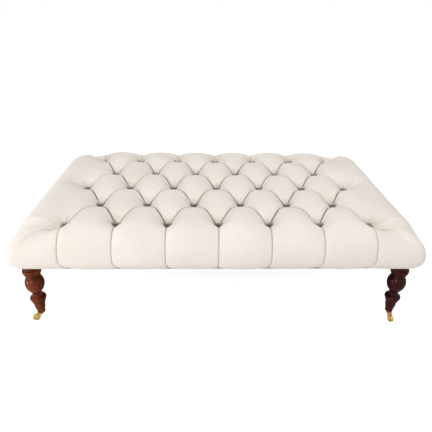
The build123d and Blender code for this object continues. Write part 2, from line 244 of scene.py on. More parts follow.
def crease_map(distance, shade_strength):
    """Distance to the nearest crease in metres beside the strength of its painted shade."""
    return np.stack([distance, np.broadcast_to(shade_strength, distance.shape)], axis=-1)


def gather_hem(base):
    """Draw the pleats together below the belly by a power of the drop."""
    drop = np.clip((BELLY - base[..., 2]) / (BELLY - HEM), 0, 1)
    share = base[..., 0] / BUTTON_REACH_X
    to_end = HALF_LENGTH - HEM_INSET - np.abs(base[..., 0])
    fade = np.clip(to_end / (END_BORDER - HEM_INSET), 0, 1)
    moved = base.copy()
    moved[..., 0] -= HEM_GATHER * drop**GATHER_CURVE * share * fade
    return moved


def side_curve():
    """Section from the flat top over the shoulder and the belly to the hem.

    Above the belly it is a quarter superellipse, below it the inset grows as a power of the
    drop.  Returned by even arc length as inset, height, outward and upward parts of the
    normal, and length.
    """
    turn = np.linspace(0, math.pi / 2, SHOULDER_SAMPLES)
    power = 2 / SHOULDER_CURVE
    inset = SHOULDER * (1 - np.sin(turn) ** power)
    height = BELLY + (CREST - BELLY) * np.cos(turn) ** power
    drop = np.linspace(0, 1, SKIRT_SAMPLES)[1:]
    inset = np.concatenate([inset, HEM_INSET * drop**HEM_CURVE])
    height = np.concatenate([height, BELLY - (BELLY - HEM) * drop])
    length = np.concatenate([[0], np.cumsum(np.hypot(np.diff(inset), np.diff(height)))])
    even = np.linspace(0, length[-1], SHOULDER_STEPS)
    inset = np.interp(even, length, inset)
    height = np.interp(even, length, height)
    along = np.gradient(-inset)
    down = np.gradient(height)
    size = np.hypot(along, down)
    return inset, height, -down / size, along / size, even


SIDE_INSET, SIDE_HEIGHT, SIDE_OUT, SIDE_UP, SIDE_LENGTH = side_curve()


def ripple(points):
    """Slow unevenness of the stuffing: a sum of sine waves in three directions."""
    draw = np.random.default_rng(RIPPLE_SEED)
    total = np.zeros(points.shape[:-1])
    for wave in RIPPLE_WAVES:
        for _ in range(RIPPLE_DRAWS):
            way = draw.normal(size=3)
            way /= np.linalg.norm(way)
            phase = draw.uniform(0, 2 * math.pi)
            size = (RIPPLE_WAVES[0] / wave) ** RIPPLE_FADE
            total += np.sin(wave * (points @ way) + phase) * size
    return total / RIPPLE_DRAWS


def nearest_button(plan):
    """Offset in plan from the nearest button, and that button's number."""
    away = plan[..., None, :] - BUTTONS
    number = np.argmin((away**2).sum(-1), axis=-1)
    return plan - BUTTONS[number], number


def gathers(plan):
    """Radial folds round each button: cosines of the angle under a bell of the radius."""
    offset, number = nearest_button(plan)
    radius = np.hypot(offset[..., 0], offset[..., 1])
    angle = np.arctan2(offset[..., 1], offset[..., 0])
    draw = np.random.default_rng(GATHER_SEED)
    phase = draw.uniform(0, 2 * math.pi, len(BUTTONS))[number]
    bell = np.exp(-(((radius - GATHER_RADIUS) / GATHER_SPREAD) ** 2))
    folds = np.cos(GATHER_FOLDS * angle + phase)
    folds = folds + CROSS_FOLD_SHARE * np.cos(CROSS_FOLDS * angle + 2 * phase)
    return GATHER_DEPTH * folds * bell


def lay_cloth(base, normal, depth):
    """Sink a base surface along its normals by the tufting's depth, gathers and ripples."""
    sunk = depth + gathers(base[..., :2]) + RIPPLE * ripple(base)
    return base - sunk[..., None] * normal


def level(x, y):
    """Flat base at the crest, with its upward normal."""
    base = np.stack([x, y, np.full_like(x, CREST)], axis=-1)
    return base, np.broadcast_to([0.0, 0.0, 1.0], base.shape)


def add_diamond(mesh, centre_x, centre_y):
    """Whole pillow between four buttons, on a grid along its two pairs of creases."""
    p, q = np.meshgrid(spread(CREASE_STEPS), spread(CREASE_STEPS), indexing="ij")
    x = centre_x + (p - q) / 2 * HALF_PITCH
    y = centre_y + (p + q) / 2 * ROW_PITCH
    base, normal = level(x, y)
    crease = crease_map((1 - np.maximum(np.abs(p), np.abs(q))) * CELL_HALF_WIDTH, 1.0)
    mesh.add_grid(lay_cloth(base, normal, cell_depth(p, q)), base[..., :2], crease)


def pleat_depth(length, pleat):
    """Depth of a pleat along its run: from the crease's depth it fades to the side's."""
    side, reach = pleat
    return side + (CREASE_DEPTH - side) * np.exp(-((length / reach) ** PLEAT_CURVE))


def border_run(border):
    """Inset, height, normal and length from a button line out over the side to the hem."""
    flat = np.linspace(0, 1, FLAT_STEPS) ** FLAT_CROWD * (border - SHOULDER)
    inset = np.concatenate([border - flat[:-1], SIDE_INSET])
    height = np.concatenate([np.full(FLAT_STEPS - 1, CREST), SIDE_HEIGHT])
    out = np.concatenate([np.zeros(FLAT_STEPS - 1), SIDE_OUT])
    up = np.concatenate([np.ones(FLAT_STEPS - 1), SIDE_UP])
    length = np.concatenate([flat[:-1], border - SHOULDER + SIDE_LENGTH])
    return inset, height, out, up, length


def button_reach(length):
    """Share of a button's plunge so far out along a run: a bell about the button."""
    return np.exp(-((length / PLUNGE_REACH) ** 2))


def add_lobe(mesh, centre, half_width, tip, border, out_way, steps):
    """Outer pillow: a half diamond that runs on over the side to the hem between two pleats.

    centre is the middle of its button line, tip the distance back to the button behind it,
    and out_way the unit vector outwards.  Returns its points along the hem.
    """
    across_way = np.array([-out_way[1], out_way[0]])
    across = spread(steps)
    back = (spread(CREASE_STEPS)[::-1] + 1) / 2
    share, w = np.meshgrid(back[:-1], across, indexing="ij")
    wide = w * (1 - share)
    plan = (
        centre
        + (wide * half_width)[..., None] * across_way
        - (share * tip)[..., None] * out_way
    )
    base, normal = level(plan[..., 0], plan[..., 1])
    depth = cell_depth(share + wide, share - wide)
    half_diamond = lay_cloth(base, normal, depth)
    half_cloth = base[..., :2]
    far = 1 - np.maximum(np.abs(share + wide), np.abs(share - wide))
    half_crease = crease_map(far * CELL_HALF_WIDTH, 1.0)

    inset, height, out, up, length = border_run(border)
    run, w = np.meshgrid(np.arange(len(inset)), across, indexing="ij")
    plan = (
        centre
        + (w * half_width)[..., None] * across_way
        + (border - inset)[run][..., None] * out_way
    )
    base = gather_hem(np.concatenate([plan, height[run][..., None]], axis=-1))
    normal = np.concatenate([out[run][..., None] * out_way, up[run][..., None]], axis=-1)
    front = out_way[0] == 0
    pleat = pleat_depth(length, FRONT_PLEAT if front else END_PLEAT)[run]
    blend = 1 + np.exp(-((length / BLEND_REACH) ** 2))
    deep = plunge(w, w) * button_reach(length)[run]
    depth = pleat * (1 - dome(w) ** blend[run]) + BUTTON_PLUNGE * deep
    depth += SLIT_DEPTH * pleat / CREASE_DEPTH * slit(w) * (1 - deep)
    strip = lay_cloth(base, normal, depth)
    # Painted shade along the pleat's crease, stronger on the front pleats than at the ends
    crease_shade = FRONT_PLEAT_SHADE if front else END_PLEAT_SHADE
    strip_crease = crease_map((1 - np.abs(w)) * half_width, crease_shade)
    strip_cloth = (
        centre
        + (w * half_width)[..., None] * across_way
        + length[run][..., None] * out_way
    )
    mesh.add_grid(
        np.concatenate([half_diamond, strip]),
        np.concatenate([half_cloth, strip_cloth]),
        np.concatenate([half_crease, strip_crease]),
    )
    return strip[-1]


def corner_outline():
    """Corner of the belly's outline from the front pleat to the end pleat, and its normal.

    Positions are offsets from the corner button in the +X +Y quarter: a straight, a
    quarter circle and another straight.
    """
    run_x = END_BORDER - CORNER_RADIUS
    run_y = FRONT_BORDER - CORNER_RADIUS
    arc = CORNER_RADIUS * math.pi / 2
    length = (spread(FAN_STEPS) + 1) / 2 * (run_x + arc + run_y)
    turn = np.clip((length - run_x) / CORNER_RADIUS, 0, math.pi / 2)
    normal = np.stack([np.sin(turn), np.cos(turn)], axis=-1)
    x = np.minimum(length, run_x) + CORNER_RADIUS * normal[:, 0]
    y = run_y - np.maximum(length - run_x - arc, 0) + CORNER_RADIUS * normal[:, 1]
    return np.stack([x, y], axis=-1), normal


def add_corner(mesh, side_x, side_y):
    """Corner of the border: runs that fan out from the corner button to the outline.

    The first run lies on the front pleat and the last on the end pleat.  Returns the
    points along the hem.
    """
    outline, outward = corner_outline()
    border = (outline * outward).sum(-1)
    runs = [border_run(one) for one in border]
    inset, height, out, up, length = (np.stack(part, axis=-1) for part in zip(*runs))
    above = height >= BELLY
    share = np.where(above, 1 - inset / border, 1)
    tuck = np.where(above, 0, inset)
    turn = np.linspace(0, math.pi, FAN_STEPS)
    rise = np.clip((height - BELLY) / (CREST - BELLY), 0, 1)
    height = height - CORNER_SETTLE * np.sin(turn) ** 2 * np.sqrt(share) * rise
    plan = share[..., None] * outline - tuck[..., None] * outward
    a = np.clip(1 - plan[..., 0] / BORDER_CELL, 0, 1)
    b = np.clip(1 - plan[..., 1] / BORDER_CELL, 0, 1)
    a = np.where(np.arange(FAN_STEPS) == 0, 1, a)
    b = np.where(np.arange(FAN_STEPS) == FAN_STEPS - 1, 1, b)
    share_a = pleat_depth(length, FRONT_PLEAT) / CREASE_DEPTH
    share_b = pleat_depth(length, END_PLEAT) / CREASE_DEPTH
    fall_a, fall_b = share_a * (1 - dome(a)), share_b * (1 - dome(b))
    fold_a, fold_b = share_a * slit(a), share_b * slit(b)
    # On each pleat only that pleat's own fall and fold count
    for part in (fall_b, fold_b):
        part[:, 0] = 0
    for part in (fall_a, fold_a):
        part[:, -1] = 0
    deep = button_reach(length)
    depth = CREASE_DEPTH * (1 - (1 - fall_a) * (1 - fall_b)) + BUTTON_PLUNGE * deep
    depth += SLIT_DEPTH * np.maximum(fold_a, fold_b) * (1 - deep)
    # Painted shade along the nearer pleat's crease, stronger on the front pleat
    crease_shade = np.where(plan[..., 0] < plan[..., 1], FRONT_PLEAT_SHADE, END_PLEAT_SHADE)
    crease = crease_map(np.minimum(plan[..., 0], plan[..., 1]), crease_shade)
    signs = np.array([side_x, side_y])
    corner = signs * (BUTTON_REACH_X, BUTTON_REACH_Y)
    base = gather_hem(np.concatenate([corner + signs * plan, height[..., None]], axis=-1))
    normal = np.concatenate([out[..., None] * outward * signs, up[..., None]], axis=-1)
    beyond = length - np.where(above, border - inset, border)
    cloth = corner + signs * (share[..., None] * outline + beyond[..., None] * outward)
    fan = lay_cloth(base, normal, depth)
    mesh.add_grid(fan, cloth, crease)
    return fan[-1]


def make_cushion(material):
    """Tufted cloth over the whole cushion, turned under at the hem and closed inside."""
    mesh = Mesh()
    hems = []
    for row in range(1, ROWS - 1):
        y = row * ROW_PITCH - BUTTON_REACH_Y
        shift = row % 2
        for column in range(COLUMNS - 1 - shift):
            x = (column + 0.5 + shift / 2) * PITCH - BUTTON_REACH_X
            add_diamond(mesh, x, y)
    for side in (-1, 1):
        for column in range(COLUMNS - 1):
            x = (column + 0.5) * PITCH - BUTTON_REACH_X
            centre = np.array([x, side * BUTTON_REACH_Y])
            way = np.array([0.0, side])
            sizes = (HALF_PITCH, ROW_PITCH, FRONT_BORDER)
            hems.append(add_lobe(mesh, centre, *sizes, way, LOBE_STEPS))
        for row in range(1, ROWS, 2):
            y = row * ROW_PITCH - BUTTON_REACH_Y
            centre = np.array([side * BUTTON_REACH_X, y])
            way = np.array([side, 0.0])
            sizes = (ROW_PITCH, HALF_PITCH, END_BORDER)
            hems.append(add_lobe(mesh, centre, *sizes, way, END_LOBE_STEPS))
        for other in (-1, 1):
            hems.append(add_corner(mesh, side, other))
    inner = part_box("corner_blocks")[1] + Vector((FRAME_GAP, FRAME_GAP, 0))
    ceiling = BUTTON_SEAT - CEILING_DROP
    for hem in hems:
        rim = hem.copy()
        rim[:, 0] = np.clip(rim[:, 0], -inner.x, inner.x)
        rim[:, 1] = np.clip(rim[:, 1], -inner.y, inner.y)
        roof = rim.copy()
        roof[:, 2] = ceiling
        centre = np.zeros_like(roof)
        centre[:, 2] = ceiling
        mesh.add_grid(np.stack([hem, rim, roof, centre]))
    return mesh.build("tufted_cushion", material, weld=CLOTH_WELD)


def add_button_offsets(piece):
    """One more map: each face's corners hold their offset from the button nearest the face."""
    data = piece.data
    points = np.zeros(len(data.vertices) * 3)
    data.vertices.foreach_get("co", points)
    plan = points.reshape(-1, 3)[:, :2]
    middles = np.zeros(len(data.polygons) * 3)
    data.polygons.foreach_get("center", middles)
    number = nearest_button(middles.reshape(-1, 3)[:, :2])[1]
    totals = np.zeros(len(data.polygons), dtype=np.int64)
    data.polygons.foreach_get("loop_total", totals)
    corners = np.zeros(len(data.loops), dtype=np.int64)
    data.loops.foreach_get("vertex_index", corners)
    offset = plan[corners] - BUTTONS[np.repeat(number, totals)]
    layer = data.uv_layers.new(name="button_offset")
    layer.data.foreach_set("uv", offset.astype(np.float32).ravel())


# Lathe work: legs, buttons and castor parts
PROFILE_STEPS = 15
SMALL_STEPS = 6
BUTTON_STEPS = 8
LEG_SIDES = 72
BUTTON_SIDES = 28
WHEEL_SIDES = 64
GRIP_SIDES = 48
PIN_SIDES = 32


def bowed(start, end, bow, steps):
    """Circular arc from start to end that rises by bow in its middle, or a straight line."""
    start, end = np.array(start), np.array(end)
    chord = end - start
    size = np.hypot(*chord)
    along = np.linspace(-1, 1, steps)
    if bow == 0:
        return start + (along[[0, -1], None] + 1) / 2 * chord
    half = 2 * math.atan(2 * abs(bow) / size)
    forward = np.sin(half * along) / math.sin(half)
    rise = (np.cos(half * along) - math.cos(half)) / (1 - math.cos(half))
    side = np.array([chord[1], -chord[0]]) / size
    return start + ((forward + 1) / 2)[:, None] * chord + (rise * bow)[:, None] * side


def turned(rows, steps=PROFILE_STEPS):
    """Profile from rows of (radius, height, bow); a row's bow belongs to the stretch before."""
    stretches = [bowed(a[:2], b[:2], b[2], steps)[:-1] for a, b in zip(rows, rows[1:])]
    return np.vstack([*stretches, rows[-1][:2]])


def revolved(profile, steps):
    """Grid of a profile (radius, height) carried round the Z axis."""
    angle = np.linspace(0, 2 * math.pi, steps, endpoint=False)[:, None]
    radius, height = profile[:, 0], profile[:, 1]
    x = radius * np.cos(angle)
    y = radius * np.sin(angle)
    return np.stack([x, y, np.broadcast_to(height, x.shape)], axis=-1)


def placed(points, matrix):
    """Points moved by a 4 x 4 matrix."""
    matrix = np.array(matrix)
    return points @ matrix[:3, :3].T + matrix[:3, 3]


def lathe(name, profile, sides, material, places=((0, 0),), moves=()):
    """Piece of one profile carried round the Z axis, moved in turn and set at each place."""
    grid = revolved(profile, sides)
    for move in moves:
        grid = placed(grid, move)
    mesh = Mesh()
    for x, y in places:
        mesh.add_grid(grid + [x, y, 0], close_rows=True)
    return mesh.build(name, material)


# Leg profile from the foot up: radius and bow as shares of the bulb's, height of the leg's
leg_low, leg_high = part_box("legs")
LEG_HEIGHT = leg_high.z - leg_low.z
BULB_RADIUS = 0.0345
LEG_SHARES = [
    (0.000, 0.000, 0.000),
    (0.380, 0.000, 0.000),
    (0.420, 0.010, 0.020),
    (0.420, 0.046, 0.000),
    (0.395, 0.052, 0.000),
    (0.400, 0.058, 0.010),
    (0.460, 0.066, 0.020),
    (0.600, 0.226, 0.030),
    (0.620, 0.234, 0.000),
    (0.700, 0.240, 0.020),
    (0.710, 0.262, 0.020),
    (0.690, 0.268, 0.000),
    (0.640, 0.354, 0.185),
    (0.540, 0.360, 0.000),
    (0.495, 0.380, -0.020),
    (0.495, 0.424, -0.010),
    (0.530, 0.442, -0.010),
    (1.000, 0.622, 0.122),
    (0.640, 0.754, 0.094),
    (0.660, 0.760, 0.000),
    (0.770, 0.768, 0.010),
    (0.770, 0.794, 0.030),
    (0.700, 0.800, 0.000),
    (0.760, 0.812, -0.020),
    (0.920, 0.826, -0.030),
    (0.920, 0.900, 0.048),
    (0.840, 0.906, 0.010),
    (0.754, 0.916, -0.020),
    (0.754, 1.000, 0.000),
    (0.000, 1.000, 0.000),
]


def leg_places():
    """Plan positions of the legs, from the box of their frame node."""
    middle_x = leg_high.x - BULB_RADIUS
    middle_y = leg_high.y - BULB_RADIUS
    return [(x * middle_x, y * middle_y) for y in (-1, 1) for x in (-1, 1)]


LEGS = leg_places()


def make_legs(material):
    """Four turned legs, each the leg profile carried round its own axis."""
    rows = [
        (radius * BULB_RADIUS, leg_low.z + height * LEG_HEIGHT, bow * BULB_RADIUS)
        for radius, height, bow in LEG_SHARES
    ]
    return lathe("turned_legs", turned(rows), LEG_SIDES, material, LEGS)


def make_buttons(material):
    """Covered buttons: shallow domes with a rounded rim and a flat back."""
    back, rim, rim_rise, rim_bow, dome_bow = 0.9, 0.98, 0.005, 0.0012, 0.0016
    rows = [
        (0.0, BUTTON_SEAT, 0.0),
        (BUTTON_RADIUS * back, BUTTON_SEAT, 0.0),
        (BUTTON_RADIUS * rim, BUTTON_SEAT + rim_rise, rim_bow),
        (0.0, BUTTON_CROWN, dome_bow),
    ]
    profile = turned(rows, BUTTON_STEPS)
    return lathe("covered_buttons", profile, BUTTON_SIDES, material, BUTTONS)


# Castors: each is built heading along +X about its stem and then turned to its heading.
# Wheel and axle:
WHEEL_RADIUS = 0.014
WHEEL_HALF = 0.006
TREAD_ROUND = 0.0012
TREAD_EDGE = 0.0018
TREAD_BOW = 0.0004
RIM_INNER = 0.0112
RIM_STEP = 0.0003
DISH_OUTER = 0.0100
DISH_INNER = 0.0062
DISH_DEPTH = 0.0014
HUB_RADIUS = 0.0052
TRAIL = 0.022
AXLE_RADIUS = 0.0025
RIVET_RADIUS = 0.0034
RIVET_HEIGHT = 0.0006
RIVET_BOW = 0.0003
BORE_GAP = 0.0003

# Fork: a strap bent over the wheel, with a solid horn behind the wheel and a stem on top
STRAP_THICKNESS = 0.002
STRAP_STEPS = 40
STRAP_SIDES = 20
STRAP_SQUARENESS = 0.3
STRAP_ROUNDNESS = 0.5
CHEEK_INNER = 0.0064
CROWN_HALF = 0.0085
CROWN_GAP = 0.0004
CROWN_CURVE = 1.5
BEND_RADIUS = 0.0035
BEND_STEPS = 9
TIP_WIDTH = 1e-4
BOSS_RADIUS = 0.005
HORN_GAP = 0.0012
HORN_THICKNESS = 0.0110
HORN_REACH = (104, 152)
STEM_RADIUS = 0.004
COLLAR_WIDTH = 0.003
COLLAR_GAP = 0.0003
STEM_HEADROOM = 0.001

# Grip socket, from the box of its frame node
socket_low, socket_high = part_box("castor_sockets")
FOOT = leg_low.z
GRIP_RADIUS = 0.013
GRIP_ROUND = 0.0008
GRIP_BOW = 0.0003
SLEEVE_RADIUS = 0.0055
UPRIGHT = Matrix.Translation((TRAIL, 0, WHEEL_RADIUS)) @ Matrix.Rotation(math.pi / 2, 4, "X")


def castor_heading(corner, place):
    """Direction from the leg's axis to the wheel's middle, from the wheel node's box."""
    low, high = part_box(f"castor_wheel_{corner}")
    middle = (low + high) / 2
    return math.atan2(middle.y - place[1], middle.x - place[0])


def make_wheel(name, spot, material):
    """Solid wheel: a rounded tread with dished sides round a bore, carried round its axle."""
    bore = AXLE_RADIUS + BORE_GAP
    rim = WHEEL_HALF - RIM_STEP
    dish = WHEEL_HALF - DISH_DEPTH
    rows = [
        (bore, -WHEEL_HALF, 0.0),
        (HUB_RADIUS, -WHEEL_HALF, 0.0),
        (DISH_INNER, -dish, 0.0),
        (DISH_OUTER, -dish, 0.0),
        (RIM_INNER, -rim, 0.0),
        (WHEEL_RADIUS - TREAD_ROUND, -rim, 0.0),
        (WHEEL_RADIUS, -WHEEL_HALF + TREAD_EDGE, TREAD_BOW),
        (WHEEL_RADIUS, WHEEL_HALF - TREAD_EDGE, 0.0),
        (WHEEL_RADIUS - TREAD_ROUND, rim, TREAD_BOW),
        (RIM_INNER, rim, 0.0),
        (DISH_OUTER, dish, 0.0),
        (DISH_INNER, dish, 0.0),
        (HUB_RADIUS, WHEEL_HALF, 0.0),
        (bore, WHEEL_HALF, 0.0),
        (bore, -WHEEL_HALF, 0.0),
    ]
    profile = turned(rows, SMALL_STEPS)
    return lathe(name, profile, WHEEL_SIDES, material, moves=(UPRIGHT, spot))


def capped(mesh, grid, spot):
    """Add a tube of closed rings, with a flat cap on each end."""
    mesh.add_grid(placed(grid, spot), close_columns=True)
    for end in (grid[0], grid[-1]):
        cap = np.stack([end, np.broadcast_to(end.mean(0), end.shape)])
        mesh.add_grid(placed(cap, spot), close_columns=True)


def strap_half(top):
    """Half of the strap's middle line, from the cheek's end up to the crown.

    Returned as height, sideways, outward and upward parts of the normal, position along
    the heading and half width.  Up the cheek the middle slides back by the trail and the
    width grows from a round end about the axle to the crown.
    """
    strap_out = CHEEK_INNER + STRAP_THICKNESS / 2
    straight = np.linspace(WHEEL_RADIUS - BOSS_RADIUS, top - BEND_RADIUS, STRAP_STEPS)
    turn = np.linspace(0, math.pi / 2, BEND_STEPS)[1:]
    flat = np.ones(STRAP_STEPS)
    height = np.concatenate([straight, top - BEND_RADIUS + BEND_RADIUS * np.sin(turn)])
    bend = strap_out - BEND_RADIUS + BEND_RADIUS * np.cos(turn)
    sideways = np.concatenate([flat * strap_out, bend])
    out = np.concatenate([flat, np.cos(turn)])
    up = np.concatenate([flat * 0, np.sin(turn)])
    climb = np.clip((height - WHEEL_RADIUS) / (top - WHEEL_RADIUS), 0, 1)
    middle = TRAIL * (1 - climb)
    half = BOSS_RADIUS + (CROWN_HALF - BOSS_RADIUS) * climb**CROWN_CURVE
    under = np.clip((WHEEL_RADIUS - height) / BOSS_RADIUS, 0, 1)
    half = half * np.sqrt(np.clip(1 - under**2, TIP_WIDTH, 1))
    return height, sideways, out, up, middle, half


def make_fork(name, spot, material):
    """Strap bent over the wheel, a horn that fills it behind the wheel, and the stem.

    The strap is a rounded section carried up one cheek and down the other, the horn an
    arc of the same width round the wheel.
    """
    top = socket_low.z - CROWN_GAP - STRAP_THICKNESS / 2
    signs = (1, -1, -1, 1, 1, 1)
    sides = [
        np.concatenate([part, sign * part[::-1]])[:, None]
        for part, sign in zip(strap_half(top), signs)
    ]
    height, sideways, out, up, middle, half = sides
    angle = np.linspace(0, 2 * math.pi, STRAP_SIDES, endpoint=False)
    flat_x = np.sign(np.cos(angle)) * np.abs(np.cos(angle)) ** STRAP_SQUARENESS
    flat_t = np.sign(np.sin(angle)) * np.abs(np.sin(angle)) ** STRAP_ROUNDNESS
    thick = flat_t * STRAP_THICKNESS / 2
    mesh = Mesh()
    strap = [middle + half * flat_x, sideways + out * thick, height + up * thick]
    capped(mesh, np.stack(strap, axis=-1), spot)
    first, last = np.radians(HORN_REACH)
    around = np.linspace(first, last, STRAP_SIDES)[:, None]
    away = WHEEL_RADIUS + HORN_GAP + HORN_THICKNESS / 2 * (1 + flat_t)
    across = (CHEEK_INNER + STRAP_THICKNESS / 2) * flat_x
    horn = [
        TRAIL + away * np.cos(around),
        np.broadcast_to(across, (STRAP_SIDES, STRAP_SIDES)),
        np.minimum(WHEEL_RADIUS + away * np.sin(around), top),
    ]
    capped(mesh, np.stack(horn, axis=-1), spot)
    stem = turned([
        (0.0, top, 0.0),
        (STEM_RADIUS + COLLAR_WIDTH, top, 0.0),
        (STEM_RADIUS + COLLAR_WIDTH, socket_low.z - COLLAR_GAP, 0.0),
        (STEM_RADIUS, socket_low.z - COLLAR_GAP, 0.0),
        (STEM_RADIUS, socket_high.z - STEM_HEADROOM, 0.0),
        (0.0, socket_high.z - STEM_HEADROOM, 0.0),
    ])
    mesh.add_grid(placed(revolved(stem, PIN_SIDES), spot), close_rows=True)
    return mesh.build(name, material)


def make_axle(name, spot, material):
    """Riveted pin: a rod with a low domed head outside each cheek."""
    outer = CHEEK_INNER + STRAP_THICKNESS
    rows = [
        (0.0, -outer - RIVET_HEIGHT, 0.0),
        (RIVET_RADIUS, -outer, RIVET_BOW),
        (AXLE_RADIUS, -outer, 0.0),
        (AXLE_RADIUS, outer, 0.0),
        (RIVET_RADIUS, outer, 0.0),
        (0.0, outer + RIVET_HEIGHT, RIVET_BOW),
    ]
    profile = turned(rows, SMALL_STEPS)
    return lathe(name, profile, PIN_SIDES, material, moves=(UPRIGHT, spot))


def make_sockets(material):
    """Grip sockets: a sleeve up inside each foot with a round flange under it."""
    bore = STEM_RADIUS + BORE_GAP
    rows = [
        (bore, socket_low.z, 0.0),
        (GRIP_RADIUS - GRIP_ROUND, socket_low.z, 0.0),
        (GRIP_RADIUS, socket_low.z + GRIP_ROUND, GRIP_BOW),
        (GRIP_RADIUS, FOOT, 0.0),
        (SLEEVE_RADIUS, FOOT, 0.0),
        (SLEEVE_RADIUS, socket_high.z, 0.0),
        (bore, socket_high.z, 0.0),
        (bore, socket_low.z, 0.0),
    ]
    return lathe("castor_grips", turned(rows, SMALL_STEPS), GRIP_SIDES, material, LEGS)


# Materials
WHITE = (1, 1, 1, 1)
BLACK = (0, 0, 0, 1)
OBJECT_OUTPUT = 3
COLOUR_OUTPUT = 2
COLOUR_INPUTS = (6, 7)


class Value:
    """A shader socket that takes part in sums; each operator adds a Math node."""

    def __init__(self, tree, socket):
        self.tree = tree
        self.socket = socket

    def node(self, kind, settings=(), inputs=(), output=0):
        """Add a node of a kind, give it its settings and inputs, and wrap one output."""
        made = self.tree.nodes.new("ShaderNode" + kind)
        for name, value in dict(settings).items():
            setattr(made, name, value)
        for name, value in dict(inputs).items():
            socket = made.inputs[name]
            if isinstance(value, Value):
                self.tree.links.new(value.socket, socket)
            else:
                socket.default_value = value
        return Value(self.tree, made.outputs[output])

    def math(self, operation, *values):
        """Add a Math node with its inputs in order."""
        return self.node("Math", {"operation": operation}, dict(enumerate(values)))

    def __add__(self, other):
        return self.math("ADD", self, other)

    def __sub__(self, other):
        return self.math("SUBTRACT", self, other)

    def __rsub__(self, other):
        return self.math("SUBTRACT", other, self)

    def __mul__(self, other):
        return self.math("MULTIPLY", self, other)

    def __truediv__(self, other):
        return self.math("DIVIDE", self, other)

    def __rtruediv__(self, other):
        return self.math("DIVIDE", other, self)

    def __pow__(self, other):
        return self.math("POWER", self, other)

    def __rpow__(self, other):
        return self.math("POWER", other, self)

    __radd__ = __add__
    __rmul__ = __mul__

    def sine(self):
        """Sine of the value in radians."""
        return self.math("SINE", self)

    def beside(self, output):
        """Another output of the node that this value comes from."""
        return Value(self.tree, self.socket.node.outputs[output])

    def smooth(self, low, high):
        """0 below low and 1 above high, with a smooth step between."""
        return self.node(
            "MapRange",
            {"interpolation_type": "SMOOTHSTEP"},
            {"Value": self, "From Min": low, "From Max": high},
        )

    def blend(self, first, second):
        """Mix of two colours, the first where this value is 0."""
        inputs = {"Factor": self, **dict(zip(COLOUR_INPUTS, (first, second)))}
        return self.node("Mix", {"data_type": "RGBA"}, inputs, COLOUR_OUTPUT)


def colour(red, green, blue):
    """A linear colour for a socket from sRGB display values of 0 to 255."""
    shares = [channel / 255 for channel in (red, green, blue)]
    linear = [s / 12.92 if s <= 0.04045 else ((s + 0.055) / 1.055) ** 2.4 for s in shares]
    return (*linear, 1.0)


def grey(level):
    """A grey for a socket from its linear level."""
    return (level, level, level, 1)


class Finish:
    """A material with one Principled shader and the places that its patterns read."""

    def __init__(self, name, **fixed):
        self.material = bpy.data.materials.new(name)
        self.material.use_nodes = True
        self.tree = self.material.node_tree
        self.shader = self.tree.nodes["Principled BSDF"]
        for socket, value in fixed.items():
            self.shader.inputs[socket.replace("_", " ")].default_value = value
        self.start = Value(self.tree, None)
        self.place = self.start.node("TexCoord", output=OBJECT_OUTPUT)

    def own_map(self, name):
        """Coordinates from one of the piece's own maps."""
        return self.start.node("UVMap", {"uv_map": name})

    def parts(self, vector):
        """X, Y and Z of a vector."""
        first = vector.node("SeparateXYZ", (), {0: vector})
        return first, first.beside(1), first.beside(2)

    def noise(self, scale, detail, stretch=(1, 1, 1), vector=None):
        """Noise of so many cells a metre, drawn out along an axis by its stretch."""
        spot = vector or self.place
        scaled = spot.node("Mapping", (), {"Vector": spot, "Scale": stretch})
        inputs = {"Vector": scaled, "Scale": scale, "Detail": detail}
        return spot.node("TexNoise", (), inputs)

    def paint(self, base, roughness, height, distance, strength):
        """Link what varies: base colour, roughness and the bump of a height."""
        inputs = {"Height": height, "Distance": distance, "Strength": strength}
        bump = height.node("Bump", (), inputs)
        for value, name in ((base, "Base Color"), (roughness, "Roughness"), (bump, "Normal")):
            self.tree.links.new(value.socket, self.shader.inputs[name])
        return self.material


# Linen: width of a thread, how wide the drawn marks are, and their colours; the tuck, crease
# and funnel colours are painted shade
THREAD = 0.0011
CREASE_SHADE_BAND = (0.0008, 0.0036)
WELT_BAND = (0.0025, 0.0055)
STITCH_TURNS = 900
TUCK_START = (0.010, 0.018)
TUCK_END = (0.024, 0.052)
TUCK_COUNTS = (29, 17)
FUNNEL_SHADE_BAND = (0.010, 0.023)
TUCK_SHADE_COLOUR = colour(150, 138, 118)
CREASE_SHADE_COLOUR = colour(104, 92, 72)
WELT_COLOUR = colour(176, 146, 98)
FUNNEL_SHADE_COLOUR = colour(74, 62, 46)


def linen(name, buttoned=False):
    """Oatmeal linen: plain weave with slubs both ways and a soft unevenness of the dye.

    The buttoned cloth also has tucks with painted shade and funnels of painted shade at its
    buttons, painted shade along its creases and a stitched welt along its hem.
    """
    finish = Finish(name, Sheen_Weight=0.25, Sheen_Roughness=0.5, Specular_IOR_Level=0.25)
    cloth = finish.own_map("cloth") if buttoned else finish.place
    u, v, _ = finish.parts(cloth)
    turn = 2 * math.pi / THREAD
    weave = (u * turn).sine() * (v * turn).sine()
    slub_u = finish.noise(90, 2, (1, 9, 1), cloth)
    slub_v = finish.noise(90, 2, (9, 1, 1), cloth)
    slubs = (slub_u + slub_v) * 0.5
    dye = finish.noise(7, 3)
    fleck = finish.noise(900, 2, vector=cloth)
    tone = (slubs * 0.65 + dye * 0.2 + fleck * 0.15).smooth(0.40, 0.60)
    base = tone.blend(colour(226, 217, 207), colour(240, 233, 225))
    height = weave * 0.12 + slubs * 0.5 + fleck * 0.12
    if buttoned:
        base, height = buttoning(finish, base, height)
    rough = slubs * 0.1 + 0.82
    return finish.paint(base, rough, height, distance=0.0007, strength=0.8)


